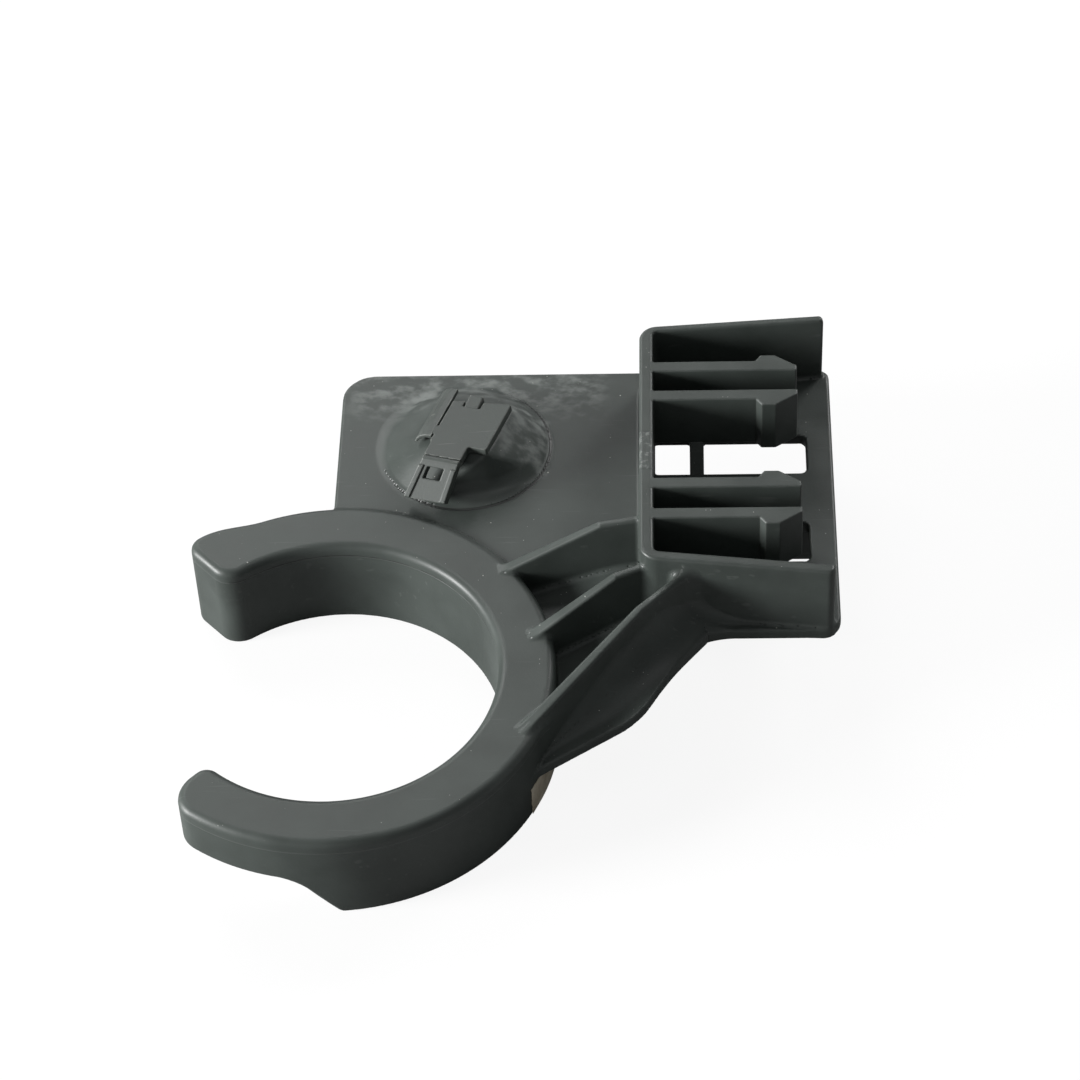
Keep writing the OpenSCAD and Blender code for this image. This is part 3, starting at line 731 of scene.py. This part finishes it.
def buildStripTree():
    # a strip bent round an upright cylinder, with torn ends and a thickness of its own
    tree = bpy.data.node_groups.new("stripRoundCylinder", "GeometryNodeTree")
    for title in ("Radius", "Start", "Length", "Low", "Width", "Thickness", "Ragged", "Seed"):
        tree.interface.new_socket(title, in_out="INPUT", socket_type="NodeSocketFloat")
    tree.interface.new_socket("Material", in_out="INPUT", socket_type="NodeSocketMaterial")
    tree.interface.new_socket("Geometry", in_out="OUTPUT", socket_type="NodeSocketGeometry")
    given = tree.nodes.new("NodeGroupInput").outputs
    grid = put(tree, "GeometryNodeMeshGrid", {"Size X": 1.0, "Size Y": 1.0, "Vertices X": 57,
        "Vertices Y": 25})
    at = put(tree, "ShaderNodeSeparateXYZ",
        {0: tree.nodes.new("GeometryNodeInputPosition").outputs[0]}).outputs
    along = calc(tree, "ADD", at["X"], 0.5)
    torn = put(tree, "ShaderNodeTexNoise", {"Vector": put(tree, "ShaderNodeCombineXYZ",
        {"X": along, "Y": at["Y"]}).outputs[0], "W": given["Seed"], "Scale": 7.0, "Detail": 3.0},
        noise_dimensions="4D").outputs[0]
    torn = times(tree, calc(tree, "SUBTRACT", torn, 0.5), given["Ragged"])
    atEnd = calc(tree, "GREATER_THAN", calc(tree, "ABSOLUTE", at["X"]), 0.495)
    run = calc(tree, "MULTIPLY_ADD", along, given["Length"], times(tree, times(tree, torn, atEnd), 2.0))
    angle = calc(tree, "ADD", calc(tree, "DIVIDE", run, given["Radius"]), given["Start"])
    edge = times(tree, times(tree, torn, 0.5), calc(tree, "POWER", times(tree, at["Y"], 2.0), 3.0))
    rise = calc(tree, "ADD", calc(tree, "MULTIPLY_ADD", calc(tree, "ADD", at["Y"], 0.5), given["Width"],
        given["Low"]), edge)
    curl = times(tree, calc(tree, "MAXIMUM", calc(tree, "SUBTRACT", 0.06, along), 0.0), 0.0012)
    reach = calc(tree, "ADD", given["Radius"], curl)
    around = put(tree, "ShaderNodeCombineXYZ", {"X": times(tree, reach, calc(tree, "COSINE", angle)),
        "Y": times(tree, reach, calc(tree, "SINE", angle)), "Z": rise})
    bent = put(tree, "GeometryNodeSetPosition", {"Geometry": grid.outputs["Mesh"],
        "Position": around.outputs[0]}).outputs[0]
    face = put(tree, "GeometryNodeExtrudeMesh", {"Mesh": bent, "Offset Scale": given["Thickness"],
        "Individual": False}).outputs["Mesh"]
    back = put(tree, "GeometryNodeFlipFaces", {"Mesh": bent}).outputs[0]
    both = put(tree, "GeometryNodeJoinGeometry")
    tree.links.new(face, both.inputs[0])
    tree.links.new(back, both.inputs[0])
    whole = put(tree, "GeometryNodeMergeByDistance", {"Geometry": both.outputs[0],
        "Distance": 0.000001}).outputs[0]
    whole = put(tree, "GeometryNodeRealizeInstances", {"Geometry": whole}).outputs[0]
    whole = put(tree, "GeometryNodeSetMaterial", {"Geometry": whole,
        "Material": given["Material"]}).outputs[0]
    tree.links.new(whole, tree.nodes.new("NodeGroupOutput").inputs[0])
    return tree


def makeLabel():
    c = label
    source = addObject("labelSource", bpy.data.meshes.new("labelSource"))
    strip = source.modifiers.new("strip", "NODES")
    tree = buildStripTree()
    values = {"Radius": c["radius"] * mm, "Start": math.radians(c["start"]), "Length": c["length"] * mm,
        "Low": c["low"] * mm, "Width": c["width"] * mm,
        "Thickness": c["thickness"] * mm, "Ragged": c["ragged"] * mm, "Seed": float(c["seed"]),
        "Material": bpy.data.materials.new("labelPaper")}
    strip.node_group = tree
    for socket in tree.interface.items_tree:
        if socket.in_out == "INPUT":
            strip[socket.identifier] = values[socket.name]
    bpy.context.view_layer.update()
    mesh = bpy.data.meshes.new_from_object(source.evaluated_get(bpy.context.evaluated_depsgraph_get()))
    mesh.name = "paperLabel"
    source.modifiers.clear()
    bpy.data.objects.remove(source)
    piece = addObject("paperLabel", mesh)
    print("label", len(mesh.polygons), "faces")
    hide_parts("label")
    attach(piece, "bracket")
    return piece


pieces["paperLabel"] = makeLabel()
print("label made")


def fade(tree, value, low, high, start=0.0, end=1.0):
    wires = {"Value": value, "From Min": low, "From Max": high, "To Min": start, "To Max": end}
    return put(tree, "ShaderNodeMapRange", wires, interpolation_type="SMOOTHSTEP").outputs["Result"]


def speckle(tree, vector, scale, detail=3.0, stretch=None, turn=0.0):
    if stretch:
        vector = put(tree, "ShaderNodeMapping", {"Vector": vector, "Scale": stretch,
            "Rotation": (0, 0, turn)}).outputs[0]
    return put(tree, "ShaderNodeTexNoise", {"Vector": vector, "Scale": scale, "Detail": detail}).outputs[0]


def tint(tree, amount, a, b):
    node = put(tree, "ShaderNodeMix", data_type="RGBA", blend_type="MIX")
    for socket, value in ((node.inputs[0], amount), (node.inputs[6], a), (node.inputs[7], b)):
        if isinstance(value, bpy.types.NodeSocket):
            tree.links.new(value, socket)
        else:
            socket.default_value = value
    return node.outputs[2]


def effect(name, inputs, outputs):
    tree = bpy.data.node_groups.new(name, "ShaderNodeTree")
    for title, kind, value in inputs:
        socket = tree.interface.new_socket(title, in_out="INPUT", socket_type=kind)
        if value is not None:
            socket.default_value = value
    for title in outputs:
        tree.interface.new_socket(title, in_out="OUTPUT", socket_type="NodeSocketFloat")
    return tree, tree.nodes.new("NodeGroupInput").outputs, tree.nodes.new("NodeGroupOutput").inputs


number, place3 = "NodeSocketFloat", "NodeSocketVector"

# moulded skin: fine grain, slow mottling and flow marks
grain, given, out = effect("mouldGrain", [("Vector", place3, None), ("Grain", number, 1.0),
    ("Flow", number, 1.0)], ["Height", "Tone"])
fine = speckle(grain, given["Vector"], 2600, 2.0)
pits = put(grain, "ShaderNodeTexVoronoi", {"Vector": given["Vector"], "Scale": 1500}).outputs["Distance"]
flow = speckle(grain, given["Vector"], 34, 4.0, (1, 2.6, 1), 0.5)
height = calc(grain, "MULTIPLY_ADD", fine, 0.7, times(grain, pits, 0.3))
height = times(grain, height, given["Grain"])
grain.links.new(calc(grain, "MULTIPLY_ADD", flow, given["Flow"], height), out["Height"])
tone = calc(grain, "MULTIPLY_ADD", speckle(grain, given["Vector"], 90, 4.0), 0.55, times(grain, flow, 0.45))
grain.links.new(fade(grain, tone, 0.34, 0.66), out["Tone"])

# outer edges lightened, partly rubbed wear and partly a painted highlight, and concave corners darkened,
# from how the surface turns
edgeTree, given, out = effect("edgeSheenAndWear", [("Vector", place3, None), ("Edge", number, 0.4),
    ("Break", number, 0.5)], ["Worn", "CornerDark"])
turned = put(edgeTree, "ShaderNodeAttribute", attribute_name="turn").outputs["Fac"]
patchy = fade(edgeTree, speckle(edgeTree, given["Vector"], 420, 4.0), 0.35, 0.65,
    calc(edgeTree, "SUBTRACT", 1.0, given["Break"]))
# outer edges lightened: rubbed wear and a painted highlight
edgeTree.links.new(times(edgeTree, fade(edgeTree, turned, 0.12, given["Edge"]), patchy), out["Worn"])
# darker in concave corners
edgeTree.links.new(times(edgeTree, fade(edgeTree, turned, -0.5, -0.06, 1.0, 0.0), patchy), out["CornerDark"])

# dust: specks that stay on faces looking up, hairs of lint and fine scratches
dust, given, out = effect("dust", [("Vector", place3, None), ("Amount", number, 0.2),
    ("Scratches", number, 0.3)], ["Specks", "Scratch"])
up = put(dust, "ShaderNodeSeparateXYZ", {0: put(dust,
    "ShaderNodeNewGeometry").outputs["Normal"]}).outputs["Z"]
specks = 0.0
for scale, size in ((420, 0.13), (900, 0.16)):
    cells = put(dust, "ShaderNodeTexVoronoi", {"Vector": given["Vector"], "Scale": scale}).outputs
    bits = put(dust, "ShaderNodeSeparateColor", {0: cells["Color"]}).outputs
    chosen = calc(dust, "LESS_THAN", bits[0], given["Amount"])
    spot = fade(dust, cells["Distance"], times(dust, bits[1], size), 0.0)
    specks = calc(dust, "MAXIMUM", specks, times(dust, spot, chosen))
dust.links.new(times(dust, specks, fade(dust, up, 0.1, 0.6)), out["Specks"])
lines = 0.0
for turn, scale in ((0.35, 1.0), (1.2, 1.3), (-0.5, 0.8)):
    streak = speckle(dust, given["Vector"], 60 * scale, 1.0, (1, 28, 8), turn)
    broken = fade(dust, speckle(dust, given["Vector"], 55 * scale, 2.0), 0.5, 0.64)
    lines = calc(dust, "MAXIMUM", lines, times(dust, fade(dust, streak, 0.70, 0.76), broken))
dust.links.new(times(dust, lines, given["Scratches"]), out["Scratch"])


def within(tree, value, low, high, soft):
    # 1 between two values, fading outside them
    return times(tree, fade(tree, value, low - soft, low), fade(tree, value, high, high + soft, 1.0, 0.0))


def radiusFrom(tree, x, y, atX, atY):
    squares = (calc(tree, "POWER", calc(tree, "SUBTRACT", a, b), 2.0) for a, b in ((x, atX), (y, atY)))
    return calc(tree, "SQRT", calc(tree, "ADD", *squares))


def newMaterial(name, look):
    # what every finish shares: mottled colour, darker concave corners, outer edges lightened as rubbed wear
    # and a painted highlight, roughness and grain height
    material = bpy.data.materials.get(name) or bpy.data.materials.new(name)
    material.use_nodes = True
    tree = material.node_tree
    spot = tree.nodes.new("ShaderNodeTexCoord").outputs["Object"]
    shader = tree.nodes["Principled BSDF"].inputs
    shader["IOR"].default_value = look.get("ior", 1.46)
    grainNode = put(tree, "ShaderNodeGroup", node_tree=grain)
    edgeNode = put(tree, "ShaderNodeGroup", node_tree=edgeTree)
    dustNode = put(tree, "ShaderNodeGroup", node_tree=dust)
    for node, values in ((grainNode, {"Grain": look["grain"], "Flow": look["flow"]}),
        (edgeNode, {"Edge": look["edge"], "Break": look["break"]}),
        (dustNode, {"Amount": look["dust"], "Scratches": look["scratches"]})):
        tree.links.new(spot, node.inputs["Vector"])
        for title, value in values.items():
            node.inputs[title].default_value = value
    tone, height = grainNode.outputs["Tone"], grainNode.outputs["Height"]
    color = tint(tree, tone, look["dark"], look["light"])
    # darker in concave corners
    color = tint(tree, times(tree, edgeNode.outputs["CornerDark"], look["cornerDark"]), color, look["cornerDarkColor"])
    # painted highlight and rubbed wear: outer edges lightened
    color = tint(tree, times(tree, edgeNode.outputs["Worn"], look["wornAndSheen"]), color, look["wornSheenColor"])
    roughness = calc(tree, "MULTIPLY_ADD", tone, look["roughSpread"], look["rough"])
    roughness = calc(tree, "MULTIPLY_ADD", edgeNode.outputs["Worn"], -0.12, roughness)
    return material, tree, spot, shader, color, roughness, height, dustNode.outputs


def finish(tree, shader, look, color, roughness, height, marks):
    # adds the dust and scratches and wires everything to the shader
    color = tint(tree, marks["Scratch"], color, look["scratchColor"])
    color = tint(tree, marks["Specks"], color, look["speckColor"])
    roughness = calc(tree, "MAXIMUM", roughness, times(tree, marks["Specks"], 0.8))
    height = calc(tree, "MULTIPLY_ADD", marks["Specks"], 3.0, height)
    height = calc(tree, "MULTIPLY_ADD", marks["Scratch"], -0.6, height)
    tree.links.new(color, shader["Base Color"])
    tree.links.new(roughness, shader["Roughness"])
    bump = put(tree, "ShaderNodeBump", {"Height": height, "Distance": look["depth"] * mm, "Strength": 1.0})
    tree.links.new(bump.outputs[0], shader["Normal"])


mouldedLook = {
    "dark": (0.034, 0.041, 0.037, 1), "light": (0.048, 0.057, 0.052, 1), "rough": 0.42,
    "roughSpread": 0.10, "grain": 1.0, "flow": 1.6,
    "edge": 0.55, "break": 0.5, "wornAndSheen": 0.35, "wornSheenColor": (0.17, 0.18, 0.17, 1), "cornerDark": 0.4,
    "cornerDarkColor": (0.03, 0.03, 0.026, 1),
    "dust": 0.17, "scratches": 0.12, "scratchColor": (0.2, 0.21, 0.2, 1),
    "speckColor": (0.62, 0.63, 0.58, 1), "depth": 0.022,
    "hazeColor": (0.19, 0.205, 0.195, 1), "haze": 0.75, "hazeRear": (76.0, 88.0), "hazeAcross": (4.0, 56.0),
    "shoulderAcross": (38.0, 46.0), "shoulderDepth": (62.0, 78.0), "partingHeight": 20.7,
    "partingReach": (37.0, 51.5),
    "grooveShadeReach": (20.05, 20.35), "gateLength": (44.5, 56.0), "shadowColor": (0.012, 0.013, 0.012, 1),
}


def makeMouldedPlastic():
    look = mouldedLook
    material, tree, spot, shader, color, roughness, height, marks = newMaterial("mouldedPlastic", look)
    x, y, z = (calc(tree, "DIVIDE", s, mm) for s in put(tree, "ShaderNodeSeparateXYZ", {0: spot}).outputs)
    bx, by = clip["place"][0], clip["place"][1]
    fromBoss = radiusFrom(tree, x, y, bx, by)
    fromAxis = radiusFrom(tree, x, y, 0.0, 0.0)
    # whitish haze rubbed into the plate behind the boss and on the boss's right shoulder
    cloud = fade(tree, speckle(tree, spot, 240, 8.0, (1, 1.5, 1), 0.3), 0.40, 0.72)
    behind = times(tree, fade(tree, y, *look["hazeRear"]), within(tree, x, *look["hazeAcross"], 8))
    shoulder = times(tree, within(tree, x, *look["shoulderAcross"], 3),
        within(tree, y, *look["shoulderDepth"], 4))
    hazed = times(tree, cloud, times(tree, calc(tree, "MAXIMUM", behind, shoulder), look["haze"]))
    color = tint(tree, hazed, color, look["hazeColor"])
    roughness = calc(tree, "MULTIPLY_ADD", hazed, 0.25, roughness)
    # parting line around the ring: a raised ridge, lightened along it as a painted highlight
    onRing = within(tree, fromAxis, *look["partingReach"], 0.3)
    seamRidgeAndSheen = times(tree, within(tree, z, look["partingHeight"] - 0.06, look["partingHeight"] + 0.06, 0.14),
        onRing)
    height = calc(tree, "MULTIPLY_ADD", seamRidgeAndSheen, 1.6, height)
    # painted highlight: a faint light line along the parting ridge
    color = tint(tree, times(tree, seamRidgeAndSheen, 0.18), color, look["wornSheenColor"])
    # painted shade: a broken dark line just above the parting line, on the bore only
    bore = fade(tree, fromAxis, 38.4, 39.2, 1.0, 0.0)
    partingShade = times(tree, within(tree, z, look["partingHeight"] + 0.10, look["partingHeight"] + 0.28, 0.12),
        bore)
    partingShade = times(tree, partingShade, fade(tree, speckle(tree, spot, 160, 4.0), 0.36, 0.56, 0.35, 1.0))
    height = calc(tree, "MULTIPLY_ADD", partingShade, -2.5, height)
    color = tint(tree, times(tree, partingShade, 0.8), color, look["shadowColor"])
    # groove pressed around the boss's foot, deeper at its right and front, and darkened there with painted
    # shade
    onPlate = within(tree, z, plate["top"] - 0.4, plate["top"] + 1.2, 0.3)
    grooveAndShade = times(tree, within(tree, fromBoss, *look["grooveShadeReach"], 0.3), onPlate)
    side = fade(tree, calc(tree, "SUBTRACT", calc(tree, "SUBTRACT", x, y), bx - by), -14.0, 8.0)
    grooveAndShade = times(tree, grooveAndShade, side)
    height = calc(tree, "MULTIPLY_ADD", grooveAndShade, -4.0, height)
    # painted shade in the groove, strongest at the right and front
    color = tint(tree, times(tree, grooveAndShade, 0.85), color, look["shadowColor"])
    # rough gate mark on top of the side wall
    gate = times(tree, within(tree, y, *look["gateLength"], 0.4),
        within(tree, x, socket["side"] - 0.5, socket["inner"] + 0.2, 0.2))
    gate = times(tree, gate, fade(tree, z, socket["top"] - 1.2, socket["top"] - 0.6))
    torn = speckle(tree, spot, 900, 5.0)
    height = calc(tree, "MULTIPLY_ADD", times(tree, gate, torn), 7.0, height)
    color = tint(tree, times(tree, gate, fade(tree, torn, 0.5, 0.62, 0.05, 0.6)), color, look["hazeColor"])
    finish(tree, shader, look, color, roughness, height, marks)
    return material


clipLook = {
    "dark": (0.036, 0.042, 0.038, 1), "light": (0.052, 0.060, 0.055, 1), "rough": 0.5,
    "roughSpread": 0.12, "grain": 1.5, "flow": 1.0,
    "edge": 0.9, "break": 0.7, "wornAndSheen": 0.4, "wornSheenColor": (0.26, 0.27, 0.25, 1), "cornerDark": 0.7,
    "cornerDarkColor": (0.016, 0.017, 0.016, 1),
    "dust": 0.06, "scratches": 0.35, "scratchColor": (0.2, 0.21, 0.19, 1),
    "speckColor": (0.5, 0.5, 0.46, 1), "depth": 0.022,
}


def makeClipPlastic():
    material, tree, spot, shader, color, roughness, height, marks = newMaterial("clipPlastic", clipLook)
    finish(tree, shader, clipLook, color, roughness, height, marks)
    return material


paperLook = {
    "dark": (0.50, 0.44, 0.33, 1), "light": (0.72, 0.67, 0.55, 1), "rough": 0.82, "roughSpread": 0.1,
    "grain": 2.2, "flow": 0.6,
    "edge": 0.9, "break": 0.5, "wornAndSheen": 0.0, "wornSheenColor": (0.8, 0.78, 0.7, 1), "cornerDark": 0.2,
    "cornerDarkColor": (0.2, 0.17, 0.12, 1),
    "dust": 0.02, "scratches": 0.5, "scratchColor": (0.36, 0.30, 0.22, 1),
    "speckColor": (0.25, 0.21, 0.16, 1), "depth": 0.03, "ior": 1.4,
}


def makePaper():
    look = paperLook
    material, tree, spot, shader, color, roughness, height, marks = newMaterial("labelPaper", look)
    fibre = speckle(tree, spot, 500, 4.0, (1, 1, 5), 0.4)
    height = calc(tree, "MULTIPLY_ADD", fibre, 1.4, height)
    stain = fade(tree, speckle(tree, spot, 110, 5.0), 0.5, 0.68)
    color = tint(tree, times(tree, stain, 0.55), color, (0.30, 0.24, 0.16, 1))
    finish(tree, shader, look, color, roughness, height, marks)
    return material


plastic, clipPlastic = makeMouldedPlastic(), makeClipPlastic()
makePaper()
clipPieces = ("clipPlate", "clipWing", "clipCatchTab", "latchArm")
for name, piece in pieces.items():
    if not piece.data.materials:
        piece.data.materials.append(clipPlastic if name in clipPieces else plastic)
print("materials made")

floorMesh = bpy.data.meshes.new("floor")
floorMesh.from_pydata([(-3, -3, 0), (3, -3, 0), (3, 3, 0), (-3, 3, 0)], [], [(0, 1, 2, 3)])
floor = addObject("floor", floorMesh)
sheet = bpy.data.materials.new("paleFloor")
sheet.use_nodes = True
tree = sheet.node_tree
tree.nodes.remove(tree.nodes["Principled BSDF"])
spot = tree.nodes.new("ShaderNodeTexCoord").outputs["Object"]
mottle = speckle(tree, spot, 300, 3.0)
matt = put(tree, "ShaderNodeBsdfDiffuse", {"Color": tint(tree, mottle, (0.30, 0.30, 0.30, 1),
    (0.34, 0.34, 0.34, 1))})
glow = put(tree, "ShaderNodeEmission", {"Color": (0.97, 0.97, 0.97, 1), "Strength": 0.93})
both = put(tree, "ShaderNodeAddShader", {0: put(tree, "ShaderNodeBsdfDiffuse",
    {"Color": (0.10, 0.10, 0.10, 1)}).outputs[0], 1: glow.outputs[0]})
seen = tree.nodes.new("ShaderNodeLightPath").outputs["Is Camera Ray"]
mixed = put(tree, "ShaderNodeMixShader", {0: seen, 1: matt.outputs[0], 2: both.outputs[0]})
tree.links.new(mixed.outputs[0], tree.nodes["Material Output"].inputs["Surface"])
floorMesh.materials.append(sheet)

view = {"place": (0.078597, -0.530697, 0.630201), "target": (0.046215, 0.03891, 0.024), "roll": -2.98,
    "lens": 119.63, "sensor": 36}
cameraData = bpy.data.cameras.new("camera")
cameraData.lens, cameraData.sensor_width, cameraData.clip_end = view["lens"], view["sensor"], 20
camera = addObject("camera", cameraData)
aim = (Vector(view["target"]) - Vector(view["place"])).to_track_quat("-Z", "Y").to_matrix().to_4x4()
roll = Matrix.Rotation(math.radians(view["roll"]), 4, "Z")
camera.matrix_world = Matrix.Translation(view["place"]) @ aim @ roll
bpy.context.scene.camera = camera
bpy.context.scene.view_settings.view_transform = "Standard"

lights = {
    "rearLight": {"place": (-0.42, 0.95, 0.85), "size": 0.75, "power": 7.5},
    "leftLight": {"place": (-1.2, -0.3, 0.30), "size": 0.45, "power": 40.0},
    "frontLight": {"place": (-0.15, -1.2, 0.40), "size": 0.5, "power": 0.8},
    "rightLight": {"place": (0.75, 0.9, 0.7), "size": 0.5, "power": 7.5},
    "topLight": {"place": (0.1, 0.1, 1.3), "size": 0.9, "power": 1.5},
}
for name, c in lights.items():
    data = bpy.data.lights.new(name, "AREA")
    data.shape, data.size, data.energy = "DISK", c["size"], c["power"]
    light = addObject(name, data)
    light.location = c["place"]
    light.rotation_euler = (Vector((0.04, 0.03, 0.02)) - Vector(c["place"])).to_track_quat("-Z",
        "Y").to_euler()

world = bpy.data.worlds.new("studio")
bpy.context.scene.world = world
world.use_nodes = True
tree = world.node_tree
tree.nodes["Background"].inputs["Color"].default_value = (0.97, 0.98, 1, 1)
seen = tree.nodes.new("ShaderNodeLightPath").outputs["Is Camera Ray"]
tree.links.new(calc(tree, "MULTIPLY_ADD", seen, 0.8, 0.16), tree.nodes["Background"].inputs["Strength"])
print("floor, camera and lights made")
